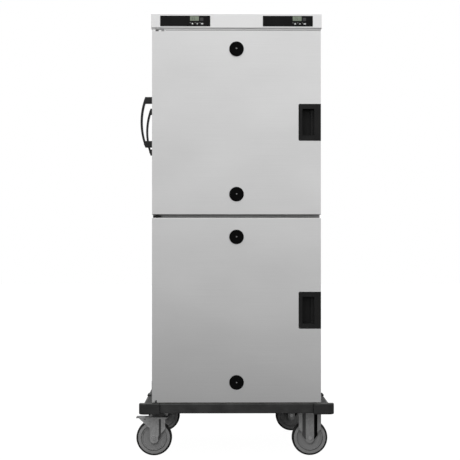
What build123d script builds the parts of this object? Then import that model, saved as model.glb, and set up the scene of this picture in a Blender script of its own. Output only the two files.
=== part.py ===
from build123d import *
import os

os.makedirs("parts", exist_ok=True)

# Millimetres. X runs to the right of the doors, Y to the back, Z up from the floor.

# Overall sizes
body_width = 700.0
base_width = 807.0
base_depth = 900.0
base_bottom = 190.0
base_height = 40.0
corner_rise = 1.0
corner_drop = 4.0
door_height = 764.5
door_depth = 56.0
cap_height = 61.0
sheet = 1.0

# Gaps around the doors
door_lift = 3.0
door_gap = 14.5
cap_gap = 7.5
door_setback = 20.0
seal_depth = 8.0
run_fit = 0.05
seal_play = 0.3

# Food chambers
chamber_width = 552.0
chamber_margin = 55.25
rear_wall = 60.0
mat_depth = 3.0
tray_levels = 10
tray_pitch = (door_height - 2 * chamber_margin - 54.0) / tray_levels
ledge_width = 22.0
ledge_depth = 2.0
ledge_length = 640.0

# Wheels
wheel_radius = 75.0
hub_radius = 55.0
tyre_width = 36.0
axle_radius = 5.0
fork_toe = 5.0
wheel_base = base_depth - 240.0
swivel_reach = base_width / 2 - 78.5
rear_step = 9.0
trail = 21.0
fixed_reach = base_width / 2 - 93.5
rear_inset = 34.0

# Heights and depths that follow from the sizes above
half_body = body_width / 2
half_base = base_width / 2
half_depth = base_depth / 2
base_top = base_bottom + base_height
lower_bottom = base_top + door_lift
lower_top = lower_bottom + door_height
upper_bottom = lower_top + door_gap
upper_top = upper_bottom + door_height
cap_bottom = upper_top + cap_gap
cap_top = cap_bottom + cap_height
door_front = door_setback - half_depth
door_back = door_front + door_depth
frame_front = door_back + seal_depth
frame_back = frame_front + 2 * sheet
body_back = half_depth - 25.0
chamber_back = body_back - rear_wall
half_chamber = chamber_width / 2
half_mat = half_chamber + sheet + mat_depth
doors = (("upper", upper_bottom), ("lower", lower_bottom))


def block(x0, x1, y0, y1, z0, z1, mode=Mode.ADD):
    with Locations(((x0 + x1) / 2, (y0 + y1) / 2, (z0 + z1) / 2)):
        Box(x1 - x0, y1 - y0, z1 - z0, mode=mode)


def upright(x, y, z0, z1, radius, mode=Mode.ADD):
    with Locations((x, y, (z0 + z1) / 2)):
        Cylinder(radius, z1 - z0, mode=mode)


def crosswise(x, z, y0, y1, radius, mode=Mode.ADD):
    with Locations((x, (y0 + y1) / 2, z)):
        Cylinder(radius, y1 - y0, rotation=(90, 0, 0), mode=mode)


def upright_plane(y):
    return Plane(origin=(0, y, 0), x_dir=(1, 0, 0), z_dir=(0, -1, 0))


# Cabinet shell: an open tube of sheet steel, closed in front by the frame and behind by the cover
with BuildPart() as casing:
    block(-half_body, half_body, frame_back, body_back, base_top, cap_bottom)
    block(
        sheet - half_body, half_body - sheet, frame_back, body_back,
        base_top + sheet, cap_bottom - sheet, Mode.SUBTRACT,
    )
casing.part.label = "outer_casing"
export_step(casing.part, "parts/outer_casing.step")

# Flat frame that both doors seal against
with BuildPart() as frame:
    block(-half_body, half_body, frame_front, frame_back, base_top, cap_bottom)
    for name, bottom in doors:
        block(
            -half_chamber, half_chamber, frame_front, frame_back,
            bottom + chamber_margin, bottom + door_height - chamber_margin, Mode.SUBTRACT,
        )
frame.part.label = "front_frame"
export_step(frame.part, "parts/front_frame.step")

# Screwed cover over the back, with the hole for the mains inlet
inlet_x = half_body - 120.0
inlet_z = base_top + 110.0
inlet_width = 48.0
inlet_height = 30.0
inlet_reach = 22.0
cover_depth = 1.5
with BuildPart() as cover:
    block(-half_body, half_body, body_back, body_back + cover_depth, base_top, cap_bottom)
    block(
        inlet_x - inlet_width / 2, inlet_x + inlet_width / 2, body_back, body_back + cover_depth,
        inlet_z - inlet_height / 2, inlet_z + inlet_height / 2, Mode.SUBTRACT,
    )
cover.part.label = "rear_cover"
export_step(cover.part, "parts/rear_cover.step")

# Mains inlet: a flanged socket with three pins in its well
with BuildPart() as inlet:
    inlet_back = body_back + cover_depth
    block(
        inlet_x - inlet_width / 2, inlet_x + inlet_width / 2, body_back - inlet_reach, inlet_back,
        inlet_z - inlet_height / 2, inlet_z + inlet_height / 2,
    )
    block(
        inlet_x - inlet_width / 2 - 8, inlet_x + inlet_width / 2 + 8, inlet_back, inlet_back + 4.0,
        inlet_z - inlet_height / 2 - 6, inlet_z + inlet_height / 2 + 6,
    )
    block(
        inlet_x - inlet_width / 2 + 8, inlet_x + inlet_width / 2 - 8, inlet_back - 16.0, inlet_back + 4.0,
        inlet_z - inlet_height / 2 + 5, inlet_z + inlet_height / 2 - 5, Mode.SUBTRACT,
    )
    for shift in (-9.0, 0.0, 9.0):
        block(
            inlet_x + shift - 1, inlet_x + shift + 1, inlet_back - 16.0, inlet_back - 1.0,
            inlet_z - 4, inlet_z + 4,
        )
inlet.part.label = "power_inlet"
export_step(inlet.part, "parts/power_inlet.step")

# Mineral wool that fills the walls round both chambers
with BuildPart() as insulation:
    block(
        sheet - half_body, half_body - sheet, frame_back, body_back,
        base_top + sheet, cap_bottom - sheet,
    )
    for name, bottom in doors:
        block(
            -half_mat, half_mat, frame_back, chamber_back + sheet,
            bottom + chamber_margin - sheet, bottom + door_height - chamber_margin + sheet, Mode.SUBTRACT,
        )
    block(
        inlet_x - inlet_width / 2, inlet_x + inlet_width / 2, body_back - inlet_reach, body_back,
        inlet_z - inlet_height / 2, inlet_z + inlet_height / 2, Mode.SUBTRACT,
    )
insulation.part.label = "insulation"
export_step(insulation.part, "parts/insulation.step")

for name, bottom in doors:
    floor = bottom + chamber_margin
    ceiling = bottom + door_height - chamber_margin

    # Seamless chamber box, open to the front
    with BuildPart() as liner:
        block(
            -half_chamber - sheet, half_chamber + sheet, frame_back, chamber_back + sheet,
            floor - sheet, ceiling + sheet,
        )
        block(
            -half_chamber, half_chamber, frame_back, chamber_back,
            floor, ceiling, Mode.SUBTRACT,
        )
    liner.part.label = f"{name}_liner"
    export_step(liner.part, f"parts/{name}_liner.step")

    # Tray racks: two posts on each wall that carry the ledges
    with BuildPart() as racks:
        tray_middle = (frame_back + chamber_back) / 2
        for side in (-1, 1):
            wall = sorted((side * half_chamber, side * (half_chamber - 2 * sheet)))
            tread = sorted((side * (half_chamber - 2 * sheet), side * (half_chamber - 2 * sheet - ledge_width)))
            for post in (-0.4, 0.4):
                post_y = tray_middle + post * ledge_length
                block(wall[0], wall[1], post_y - 12, post_y + 12, floor, ceiling - 20)
            for level in range(tray_levels):
                ledge_z = floor + 40 + level * tray_pitch
                block(
                    tread[0], tread[1], tray_middle - ledge_length / 2, tray_middle + ledge_length / 2,
                    ledge_z, ledge_z + ledge_depth,
                )
    racks.part.label = f"{name}_tray_racks"
    export_step(racks.part, f"parts/{name}_tray_racks.step")

# Heating mats on the outside of both chambers
with BuildPart() as mats:
    for name, bottom in doors:
        low = bottom + chamber_margin + 60
        high = bottom + door_height - chamber_margin - 60
        for inner, outer in ((-half_mat, -half_chamber - sheet), (half_chamber + sheet, half_mat)):
            block(inner, outer, frame_back + 60, chamber_back - 40, low, high)
mats.part.label = "heater_mats"
export_step(mats.part, "parts/heater_mats.step")

# Cap over the cabinet: a sheet steel box that carries both control panels and, below, a drip rail
cap_half = half_body + 3.5
cap_front = door_front - 4.0
panel_width = 207.0
panel_height = 43.0
panel_depth = 3.0
panel_reach = 212.5
panel_z = (cap_bottom + cap_top) / 2 - 1.5
window_rim = 2.5
rail_setback = 9.0
rail_clearance = 1.5
with BuildPart() as cap:
    block(-cap_half, cap_half, cap_front, body_back + cover_depth, cap_bottom, cap_top)
    fillet(cap.edges().filter_by(Axis.Z).group_by(Axis.Y)[0], 2 * sheet)
    fillet(cap.faces().sort_by(Axis.Y)[0].edges().filter_by(Axis.X), 2 * sheet)
    block(
        sheet - cap_half, cap_half - sheet, cap_front + sheet, body_back,
        cap_bottom + sheet, cap_top - sheet, Mode.SUBTRACT,
    )
    for side in (-1, 1):
        block(
            side * panel_reach - panel_width / 2 + window_rim, side * panel_reach + panel_width / 2 - window_rim,
            cap_front, cap_front + sheet,
            panel_z - panel_height / 2 + window_rim, panel_z + panel_height / 2 - window_rim, Mode.SUBTRACT,
        )
    block(
        50 - half_body, half_body - 10, cap_front + rail_setback, cap_front + rail_setback + sheet,
        upper_top + rail_clearance, cap_bottom + sheet / 2,
    )
cap.part.label = "control_cap"
export_step(cap.part, "parts/control_cap.step")

# Control panels with the display window and the three keys at their right
key_width = 13.0
key_height = 9.0
key_play = 0.3
key_travel = 0.8
key_pitch = 20.0
key_z = panel_z - 12.0
display_width = 36.5
display_height = 19.0
display_z = panel_z + 10.0
board_gap = 9.0
for side, panel_x in (("left", -panel_reach), ("right", panel_reach)):
    key_xs = [panel_x + 30.0 + key_pitch * place for place in range(3)]
    with BuildPart() as panel:
        block(
            panel_x - panel_width / 2, panel_x + panel_width / 2, cap_front - panel_depth, cap_front,
            panel_z - panel_height / 2, panel_z + panel_height / 2,
        )
        fillet(panel.edges().filter_by(Axis.Y), 2.0)
        for x in key_xs:
            block(
                x - key_width / 2 - key_play, x + key_width / 2 + key_play, cap_front - panel_depth, cap_front,
                key_z - key_height / 2 - key_play, key_z + key_height / 2 + key_play, Mode.SUBTRACT,
            )
        for post_x in (panel_x - panel_width / 2 + 12, panel_x + panel_width / 2 - 9):
            for post_z in (panel_z - panel_height / 2 + 10, panel_z + panel_height / 2 - 10):
                crosswise(post_x, post_z, cap_front, cap_front + board_gap, 2.5)
    panel.part.label = f"{side}_control_panel"
    export_step(panel.part, f"parts/{side}_control_panel.step")

    # Each key is held behind the panel by its rim
    for place, x in zip(("first", "second", "third"), key_xs):
        with BuildPart() as key:
            block(
                x - key_width / 2, x + key_width / 2, cap_front - panel_depth - 1.2, cap_front + 2.0,
                key_z - key_height / 2, key_z + key_height / 2,
            )
            block(
                x - key_width / 2 - 2, x + key_width / 2 + 2, cap_front + 0.4, cap_front + 2.0,
                key_z - key_height / 2 - 2, key_z + key_height / 2 + 2,
            )
            fillet(key.faces().sort_by(Axis.Y)[0].edges(), 0.5)
        key.part.label = f"{side}_{place}_key"
        export_step(key.part, f"parts/{side}_{place}_key.step")

# Display windows, one on each panel
with BuildPart() as displays:
    for panel_x in (-panel_reach, panel_reach):
        display_x = panel_x + 38.5
        block(
            display_x - display_width / 2, display_x + display_width / 2,
            cap_front - panel_depth - 0.6, cap_front - panel_depth,
            display_z - display_height / 2, display_z + display_height / 2,
        )
displays.part.label = "display_windows"
export_step(displays.part, "parts/display_windows.step")

# Control boards on the posts behind the panels
with BuildPart() as boards:
    for panel_x in (-panel_reach, panel_reach):
        block(
            panel_x - panel_width / 2 + 7, panel_x + panel_width / 2 - 4,
            cap_front + board_gap, cap_front + board_gap + 1.6,
            panel_z - panel_height / 2 + 6, panel_z + panel_height / 2 - 6,
        )
        block(
            panel_x - 60, panel_x - 20, cap_front + board_gap + 1.6, cap_front + board_gap + 18,
            panel_z - 10, panel_z + 10,
        )
boards.part.label = "control_boards"
export_step(boards.part, "parts/control_boards.step")

# Doors turn on upright pins near their left edge
pivot_x = 20.0 - half_body
pivot_y = (door_front + door_back) / 2
pin_radius = 5.0
pin_length = 20.0
hinge_half = 16.0
latch_left = half_body - 93.0
latch_height = 153.0
latch_depth = 36.0
bezel = 2.0
bezel_rim = 5.0
pocket_left = latch_left + 16.0
pocket_right = half_body - 28.0
pocket_height = 111.0
lever_x = half_body - 14.0
lever_y = door_front + 24.0
lever_radius = 3.0
vent_inset = 78.5
vent_rise = 84.0
vent_radius = 30.0
vent_depth = 11.0
stem_radius = 6.0
gasket_inset = 50.0
gasket_width = 16.0
for name, bottom in doors:
    top = bottom + door_height
    middle = (bottom + top) / 2
    vents = (("top", top - vent_inset), ("bottom", bottom + vent_rise))

    # Outer pan of the door, with a thick block at each hinge corner
    with BuildPart() as skin:
        block(-half_body, half_body, door_front, door_back - sheet, bottom, top)
        fillet(skin.faces().sort_by(Axis.Y)[0].edges(), 1.2 * sheet)
        block(
            sheet - half_body, half_body - sheet, door_front + sheet, door_back - sheet,
            bottom + sheet, top - sheet, Mode.SUBTRACT,
        )
        for low, high, mouth in ((bottom, bottom + 28, bottom), (top - 28, top, top)):
            block(
                sheet / 2 - half_body, 42 - half_body, door_front + sheet / 2, door_back - sheet,
                low + sheet / 2, high - sheet / 2,
            )
            bore = sorted((mouth, mouth + (pin_length + 2) * (1 if mouth == bottom else -1)))
            upright(pivot_x, pivot_y, bore[0], bore[1], pin_radius + run_fit, Mode.SUBTRACT)
        block(
            latch_left + bezel_rim, half_body, door_front, door_front + latch_depth,
            middle - latch_height / 2 + bezel_rim, middle + latch_height / 2 - bezel_rim, Mode.SUBTRACT,
        )
        for place, z in vents:
            crosswise(0, z, door_front, door_front + sheet, stem_radius + run_fit, Mode.SUBTRACT)
            with BuildSketch(upright_plane(door_front + sheet)):
                with Locations((0, z)):
                    with PolarLocations(18.0, 6):
                        Circle(4.0)
            extrude(amount=sheet, mode=Mode.SUBTRACT)
    skin.part.label = f"{name}_door_skin"
    export_step(skin.part, f"parts/{name}_door_skin.step")

    # Inner pan of the door, folded in inside the skin
    with BuildPart() as inner:
        block(-half_body, half_body, door_back - sheet, door_back, bottom, top)
        block(
            46 - half_body, half_body - sheet, door_back - 14, door_back - sheet,
            bottom + sheet, top - sheet,
        )
        block(
            46 + sheet - half_body, half_body - 2 * sheet, door_back - 14, door_back - sheet,
            bottom + 2 * sheet, top - 2 * sheet, Mode.SUBTRACT,
        )
        for place, z in vents:
            with BuildSketch(upright_plane(door_back)):
                with Locations((0, z)):
                    with PolarLocations(18.0, 6):
                        Circle(4.0)
            extrude(amount=sheet, mode=Mode.SUBTRACT)
    inner.part.label = f"{name}_door_liner"
    export_step(inner.part, f"parts/{name}_door_liner.step")

    # Rubber seal in one ring on the inner pan
    with BuildPart() as gasket:
        block(
            gasket_inset - half_body, half_body - gasket_inset, door_back, frame_front - seal_play,
            bottom + gasket_inset - gasket_width, top - gasket_inset + gasket_width,
        )
        block(
            gasket_inset + gasket_width - half_body, half_body - gasket_inset - gasket_width,
            door_back, frame_front - seal_play, bottom + gasket_inset, top - gasket_inset, Mode.SUBTRACT,
        )
    gasket.part.label = f"{name}_door_gasket"
    export_step(gasket.part, f"parts/{name}_door_gasket.step")

    # Latch housing: a moulded cup with a finger pocket that runs on behind its right rim
    with BuildPart() as housing:
        block(
            latch_left, half_body, door_front - bezel, door_front,
            middle - latch_height / 2, middle + latch_height / 2,
        )
        fillet(housing.edges().filter_by(Axis.Y).group_by(Axis.X)[0], 6.0)
        block(
            latch_left + bezel_rim, half_body, door_front, door_front + latch_depth,
            middle - latch_height / 2 + bezel_rim, middle + latch_height / 2 - bezel_rim,
        )
        block(
            pocket_left, pocket_right, door_front - bezel, door_front + latch_depth - 4,
            middle - pocket_height / 2, middle + pocket_height / 2, Mode.SUBTRACT,
        )
        block(
            pocket_right, half_body - 7, door_front + 8, door_front + latch_depth - 4,
            middle - pocket_height / 2, middle + pocket_height / 2, Mode.SUBTRACT,
        )
        fillet(housing.faces().sort_by(Axis.Y)[0].edges(), 1.0)
        upright(
            lever_x, lever_y, middle - pocket_height / 2 - 9, middle + pocket_height / 2 + 9,
            lever_radius + run_fit, Mode.SUBTRACT,
        )
    housing.part.label = f"{name}_latch_housing"
    export_step(housing.part, f"parts/{name}_latch_housing.step")

    # Release lever: a paddle on an upright pin, pulled toward the front
    with BuildPart() as lever:
        upright(
            lever_x, lever_y, middle - pocket_height / 2 - 8, middle + pocket_height / 2 + 8, lever_radius,
        )
        upright(
            lever_x, lever_y, middle - pocket_height / 2 + 1, middle + pocket_height / 2 - 1, lever_radius + 2,
        )
        block(
            pocket_right - 12, lever_x, lever_y - 2.5, lever_y + 2.5,
            middle - pocket_height / 2 + 1, middle + pocket_height / 2 - 1,
        )
    lever.part.label = f"{name}_latch_lever"
    export_step(lever.part, f"parts/{name}_latch_lever.step")

    # Rotary vents: a disc outside the door, a stem through the skin and a collar behind it
    for place, z in vents:
        with BuildPart() as vent:
            crosswise(0, z, door_front - vent_depth - 0.5, door_front - 0.5, vent_radius)
            fillet(vent.edges().group_by(Axis.Y)[0], 3.5)
            crosswise(0, z, door_front - vent_depth - 0.5, door_front - vent_depth + 1.0, 7.0, Mode.SUBTRACT)
            crosswise(0, z, door_front - 0.5, door_front + sheet + 6.0, stem_radius)
            crosswise(0, z, door_front + sheet + 0.5, door_front + sheet + 4.0, stem_radius + 4)
        vent.part.label = f"{name}_{place}_vent"
        export_step(vent.part, f"parts/{name}_{place}_vent.step")

# Magnetic keepers on the frame, one behind each latch
with BuildPart() as keepers:
    for name, bottom in doors:
        keeper_z = bottom + door_height / 2
        block(
            half_body - 38, half_body - 14, door_back + 0.5, frame_front, keeper_z - 30, keeper_z + 30,
        )
keepers.part.label = "latch_keepers"
export_step(keepers.part, "parts/latch_keepers.step")

# Hinge brackets with their pins: above, between and below the doors
seam_z = (lower_top + upper_bottom) / 2
sole_z = base_top + corner_rise + 0.2
hinges = (
    (upper_top + 2.0, upper_top + 6.0, upper_top - pin_length, upper_top + 2.0),
    (seam_z - 2.5, seam_z + 2.5, lower_top - pin_length, upper_bottom + pin_length),
    (sole_z, sole_z + sheet, sole_z, lower_bottom + pin_length),
)
with BuildPart() as brackets:
    for plate_low, plate_high, pin_low, pin_high in hinges:
        block(
            pivot_x - hinge_half, pivot_x + hinge_half, pivot_y - 14, frame_front, plate_low, plate_high,
        )
    fillet(brackets.edges().filter_by(Axis.Z).group_by(Axis.Y)[0], 8.0)
    for plate_low, plate_high, pin_low, pin_high in hinges:
        upright(pivot_x, pivot_y, pin_low, pin_high, pin_radius)
brackets.part.label = "hinge_brackets"
export_step(brackets.part, "parts/hinge_brackets.step")

# Bow handles on the left side, moulded with their end blocks
grip_reach = 60.0
grip_sag = 20.0
grip_inner_sag = 11.5
grip_depth = 9.0
grip_half = 108.0
grip_width = 26.0
grip_block = 27.0
grip_z = lower_bottom + 1.547 * door_height
grip_front = 200.0 - half_depth
grip_rear = half_depth - 340.0
for name, grip_y in (("front_push_handle", grip_front), ("rear_push_handle", grip_rear)):
    with BuildPart() as grip:
        outer_x = -half_body - grip_reach
        tip_x = outer_x + grip_sag
        inner_x = outer_x + grip_depth + grip_inner_sag
        inner_half = grip_half - grip_block
        with BuildSketch(upright_plane(grip_y + grip_width / 2)):
            with BuildLine():
                ThreePointArc((tip_x, grip_z - grip_half), (outer_x, grip_z), (tip_x, grip_z + grip_half))
                Polyline(
                    (tip_x, grip_z + grip_half), (-half_body, grip_z + grip_half),
                    (-half_body, grip_z + inner_half), (inner_x, grip_z + inner_half),
                )
                ThreePointArc(
                    (inner_x, grip_z + inner_half), (outer_x + grip_depth, grip_z),
                    (inner_x, grip_z - inner_half),
                )
                Polyline(
                    (inner_x, grip_z - inner_half), (-half_body, grip_z - inner_half),
                    (-half_body, grip_z - grip_half), (tip_x, grip_z - grip_half),
                )
            make_face()
        extrude(amount=grip_width)
        fillet(grip.faces().filter_by(Axis.Y).edges(), 2.5)
    grip.part.label = name
    export_step(grip.part, f"parts/{name}.step")

# Welded chassis: a top plate with a skirt and two cross tubes for the casters
skirt_x = half_base - 28.0
skirt_y = half_depth - 20.0
plate = 3.0
tube_half = 58.0
with BuildPart() as chassis:
    block(-skirt_x, skirt_x, -skirt_y, skirt_y, base_bottom + 2, base_top)
    block(
        plate - skirt_x, skirt_x - plate, plate - skirt_y, skirt_y - plate,
        base_bottom + 2, base_top - plate, Mode.SUBTRACT,
    )
    for tube_y in (-wheel_base / 2, wheel_base / 2):
        block(
            plate - skirt_x, skirt_x - plate, tube_y - tube_half, tube_y + tube_half, base_bottom, base_top - plate,
        )
        block(
            plate - skirt_x, skirt_x - plate, tube_y - tube_half + plate, tube_y + tube_half - plate,
            base_bottom + plate, base_top - 2 * plate, Mode.SUBTRACT,
        )
chassis.part.label = "base_chassis"
export_step(chassis.part, "parts/base_chassis.step")

# Bumper strips between the corner bumpers
corner_length = 86.0
corner_side = 36.0
strip_setback = 8.0
side_setback = 19.0
strip_round = 4.0
with BuildPart() as strips:
    for side in (-1, 1):
        strip_y = sorted((side * skirt_y, side * (half_depth - strip_setback)))
        strip_x = sorted((side * skirt_x, side * (half_base - side_setback)))
        block(
            corner_length - half_base, half_base - corner_length, strip_y[0], strip_y[1],
            base_bottom, base_top,
        )
        block(
            strip_x[0], strip_x[1], corner_side - half_depth, half_depth - corner_side,
            base_bottom, base_top - 1,
        )
    for across, along in ((Axis.Y, Axis.X), (Axis.X, Axis.Y)):
        for place in (0, -1):
            fillet(strips.faces().sort_by(across)[place].edges().filter_by(along), strip_round)
strips.part.label = "bumper_strips"
export_step(strips.part, "parts/bumper_strips.step")

# Rubber corner bumpers
with BuildPart() as corners:
    for side in (-1, 1):
        for end in (-1, 1):
            long_x = sorted((side * half_base, side * (half_base - corner_length)))
            long_y = sorted((end * half_depth, end * (half_depth - corner_side)))
            block(long_x[0], long_x[1], long_y[0], long_y[1], base_bottom - corner_drop, base_top + corner_rise)
    fillet(corners.edges().filter_by(Axis.Z).group_by(SortBy.DISTANCE)[-1], 22.0)
    fillet(corners.faces().group_by(Axis.Z)[-1].edges(), 5.0)
    fillet(corners.faces().group_by(Axis.Z)[0].edges(), 5.0)
    block(
        -skirt_x, skirt_x, -skirt_y, skirt_y,
        base_bottom - corner_drop - 1, base_top + corner_rise + 1, Mode.SUBTRACT,
    )
corners.part.label = "corner_bumpers"
export_step(corners.part, "parts/corner_bumpers.step")

# Rubber buffers on the ledge along both sides, two a side
buffer_reach = half_depth - 290.0
buffer_half = 28.0
buffer_width = 28.0
buffer_rise = 8.0
with BuildPart() as buffers:
    for side in (-1, 1):
        ledge_x = half_base - side_setback
        buffer_x = sorted((side * ledge_x, side * (ledge_x - buffer_width)))
        for y in (-buffer_reach, buffer_reach):
            block(
                buffer_x[0], buffer_x[1], y - buffer_half, y + buffer_half,
                base_top, base_top + buffer_rise,
            )
    fillet(buffers.faces().group_by(Axis.Z)[-1].edges(), 4.0)
buffers.part.label = "side_buffers"
export_step(buffers.part, "parts/side_buffers.step")

# Casters: the left pair swivels, the right pair is fixed
plate_low = base_bottom - 6.0
race_low = 2 * wheel_radius + 12.0
crown_depth = 4.0
crown_top = race_low - 0.3
leg_inner = tyre_width / 2 + 4.0
leg_outer = leg_inner + 4.0
strip_half = 17.0
king_radius = 6.0
hub_half = tyre_width / 2 + 3.0
web_half = tyre_width / 2 - 6.0
pedal_x = 38.0
pedal_z = race_low - 8.0
pedal_radius = 4.0
nut_radius = 8.5
nut_depth = 6.0
swivels = (
    ("front_left", -swivel_reach, -wheel_base / 2),
    ("rear_left", rear_step - swivel_reach, wheel_base / 2),
)
fixed = ((fixed_reach, -wheel_base / 2), (fixed_reach - rear_inset, wheel_base / 2))
wheels = (
    ("front_left", -swivel_reach - trail, -wheel_base / 2),
    ("rear_left", rear_step - swivel_reach - trail, wheel_base / 2),
    ("front_right", fixed_reach, -wheel_base / 2),
    ("rear_right", fixed_reach - rear_inset, wheel_base / 2),
)

# Top plates, ball races and king pins of the swivel casters
with BuildPart() as heads:
    for name, king_x, y in swivels:
        block(king_x - 40, king_x + 40, y - 52, y + 52, plate_low, base_bottom)
        upright(king_x, y, race_low, plate_low, 30.0)
        upright(king_x, y, race_low - 8, race_low, king_radius)
heads.part.label = "swivel_heads"
export_step(heads.part, "parts/swivel_heads.step")

for name, king_x, y in swivels:
    swivel_x = king_x - trail

    # Swivel fork: a crown and two pressed legs with a wing toward the pedal
    with BuildPart() as fork:
        for leg_y in (y + leg_outer, y - leg_inner):
            with BuildSketch(upright_plane(leg_y)):
                with BuildLine():
                    Polyline(
                        (swivel_x - strip_half, wheel_radius - fork_toe), (swivel_x - strip_half, wheel_radius + 40),
                        (swivel_x - 62, crown_top - 5), (swivel_x - 62, crown_top),
                        (swivel_x + 47, crown_top), (swivel_x + 47, wheel_radius + 38),
                        (swivel_x + strip_half, wheel_radius + 5), (swivel_x + strip_half, wheel_radius - fork_toe),
                    )
                    ThreePointArc(
                        (swivel_x + strip_half, wheel_radius - fork_toe),
                        (swivel_x, wheel_radius - fork_toe - strip_half),
                        (swivel_x - strip_half, wheel_radius - fork_toe),
                    )
                make_face()
            extrude(amount=leg_outer - leg_inner)
        block(
            swivel_x - 16, swivel_x + 58, y - leg_outer, y + leg_outer, crown_top - crown_depth, crown_top,
        )
        upright(king_x, y, crown_top - crown_depth, crown_top, king_radius + run_fit, Mode.SUBTRACT)
        crosswise(
            swivel_x - pedal_x, pedal_z, y - leg_outer, y + leg_outer, pedal_radius + run_fit, Mode.SUBTRACT,
        )
        block(
            swivel_x + 20.5, swivel_x + 29.5, y - leg_outer, y - leg_inner,
            wheel_radius + 6, crown_top - crown_depth - 3, Mode.SUBTRACT,
        )
        crosswise(swivel_x, wheel_radius, y - leg_outer, y + leg_outer, axle_radius + run_fit, Mode.SUBTRACT)
    fork.part.label = f"{name}_fork"
    export_step(fork.part, f"parts/{name}_fork.step")

    # Axle bolt with its head and nut outside the legs
    with BuildPart() as axle:
        crosswise(swivel_x, wheel_radius, y - leg_outer, y + leg_outer, axle_radius)
        for face_y in (y - leg_outer, y + leg_outer + nut_depth):
            with BuildSketch(upright_plane(face_y)):
                with Locations((swivel_x, wheel_radius)):
                    RegularPolygon(nut_radius, 6)
            extrude(amount=nut_depth)
    axle.part.label = f"{name}_axle"
    export_step(axle.part, f"parts/{name}_axle.step")

    # Foot pedal of the brake, on a pin between the wings of the fork
    with BuildPart() as pedal:
        crosswise(swivel_x - pedal_x, pedal_z, y - leg_outer, y + leg_outer, pedal_radius)
        crosswise(swivel_x - pedal_x, pedal_z, y - leg_inner + 1, y + leg_inner - 1, 6.5)
        block(
            swivel_x - 75, swivel_x - pedal_x, y - leg_inner + 1, y + leg_inner - 1, crown_top - 4, crown_top,
        )
    pedal.part.label = f"{name}_brake_pedal"
    export_step(pedal.part, f"parts/{name}_brake_pedal.step")

# Fixed forks: a top plate and two pressed legs with a middle strip between slots
with BuildPart() as fixed_forks:
    for x, y in fixed:
        for leg_y in (y + leg_outer, y - leg_inner):
            with BuildSketch(upright_plane(leg_y)):
                with BuildLine():
                    Polyline(
                        (x - strip_half, wheel_radius - fork_toe), (x - strip_half, wheel_radius + 5),
                        (x - 47, wheel_radius + 38), (x - 47, base_bottom - crown_depth),
                        (x + 47, base_bottom - crown_depth), (x + 47, wheel_radius + 38),
                        (x + strip_half, wheel_radius + 5), (x + strip_half, wheel_radius - fork_toe),
                    )
                    ThreePointArc(
                        (x + strip_half, wheel_radius - fork_toe), (x, wheel_radius - fork_toe - strip_half),
                        (x - strip_half, wheel_radius - fork_toe),
                    )
                make_face()
            extrude(amount=leg_outer - leg_inner)
        block(x - 52, x + 52, y - 52, y + 52, base_bottom - crown_depth, base_bottom)
        for slot_x in (x - 24.5, x + 24.5):
            block(
                slot_x - 7, slot_x + 7, y - leg_outer, y - leg_inner,
                wheel_radius + 6, base_bottom - crown_depth - 3, Mode.SUBTRACT,
            )
        crosswise(x, wheel_radius, y - leg_outer, y + leg_outer, axle_radius + run_fit, Mode.SUBTRACT)
fixed_forks.part.label = "fixed_forks"
export_step(fixed_forks.part, "parts/fixed_forks.step")

with BuildPart() as fixed_axles:
    for x, y in fixed:
        crosswise(x, wheel_radius, y - leg_outer, y + leg_outer, axle_radius)
        for face_y in (y - leg_outer, y + leg_outer + nut_depth):
            with BuildSketch(upright_plane(face_y)):
                with Locations((x, wheel_radius)):
                    RegularPolygon(nut_radius, 6)
            extrude(amount=nut_depth)
fixed_axles.part.label = "fixed_axles"
export_step(fixed_axles.part, "parts/fixed_axles.step")

for name, x, y in wheels:
    # Moulded hub with a dished web on both sides
    with BuildPart() as hub:
        crosswise(x, wheel_radius, y - hub_half + 5, y + hub_half - 5, hub_radius)
        for low, high in ((y - hub_half, y - web_half), (y + web_half, y + hub_half)):
            crosswise(x, wheel_radius, low, high, hub_radius - 7, Mode.SUBTRACT)
        crosswise(x, wheel_radius, y - hub_half, y + hub_half, 16.0)
        crosswise(x, wheel_radius, y - hub_half, y + hub_half, axle_radius + run_fit, Mode.SUBTRACT)
    hub.part.label = f"{name}_hub"
    export_step(hub.part, f"parts/{name}_hub.step")

    # Solid rubber tyre with a rounded tread
    with BuildPart() as tyre:
        crosswise(x, wheel_radius, y - tyre_width / 2, y + tyre_width / 2, wheel_radius)
        fillet(tyre.edges().filter_by(GeomType.CIRCLE), 8.0)
        crosswise(x, wheel_radius, y - tyre_width, y + tyre_width, hub_radius + run_fit, Mode.SUBTRACT)
    tyre.part.label = f"{name}_tyre"
    export_step(tyre.part, f"parts/{name}_tyre.step")
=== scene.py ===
import math

import bpy
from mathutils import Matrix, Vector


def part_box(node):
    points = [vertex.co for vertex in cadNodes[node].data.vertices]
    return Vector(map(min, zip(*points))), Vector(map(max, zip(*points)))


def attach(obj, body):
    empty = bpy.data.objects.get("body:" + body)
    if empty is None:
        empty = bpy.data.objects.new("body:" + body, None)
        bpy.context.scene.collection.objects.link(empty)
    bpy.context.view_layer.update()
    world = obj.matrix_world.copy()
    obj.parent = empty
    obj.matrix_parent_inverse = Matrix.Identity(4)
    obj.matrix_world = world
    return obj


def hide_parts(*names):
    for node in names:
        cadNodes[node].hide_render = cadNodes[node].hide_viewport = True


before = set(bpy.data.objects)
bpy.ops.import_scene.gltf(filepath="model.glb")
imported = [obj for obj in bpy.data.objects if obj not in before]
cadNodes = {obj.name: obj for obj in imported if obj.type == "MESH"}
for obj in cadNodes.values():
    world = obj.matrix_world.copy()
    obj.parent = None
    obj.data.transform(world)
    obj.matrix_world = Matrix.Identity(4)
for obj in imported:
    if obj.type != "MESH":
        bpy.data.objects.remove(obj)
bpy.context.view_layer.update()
print("frame loaded:", len(cadNodes), "nodes")


# Small steps that every piece goes through

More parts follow.
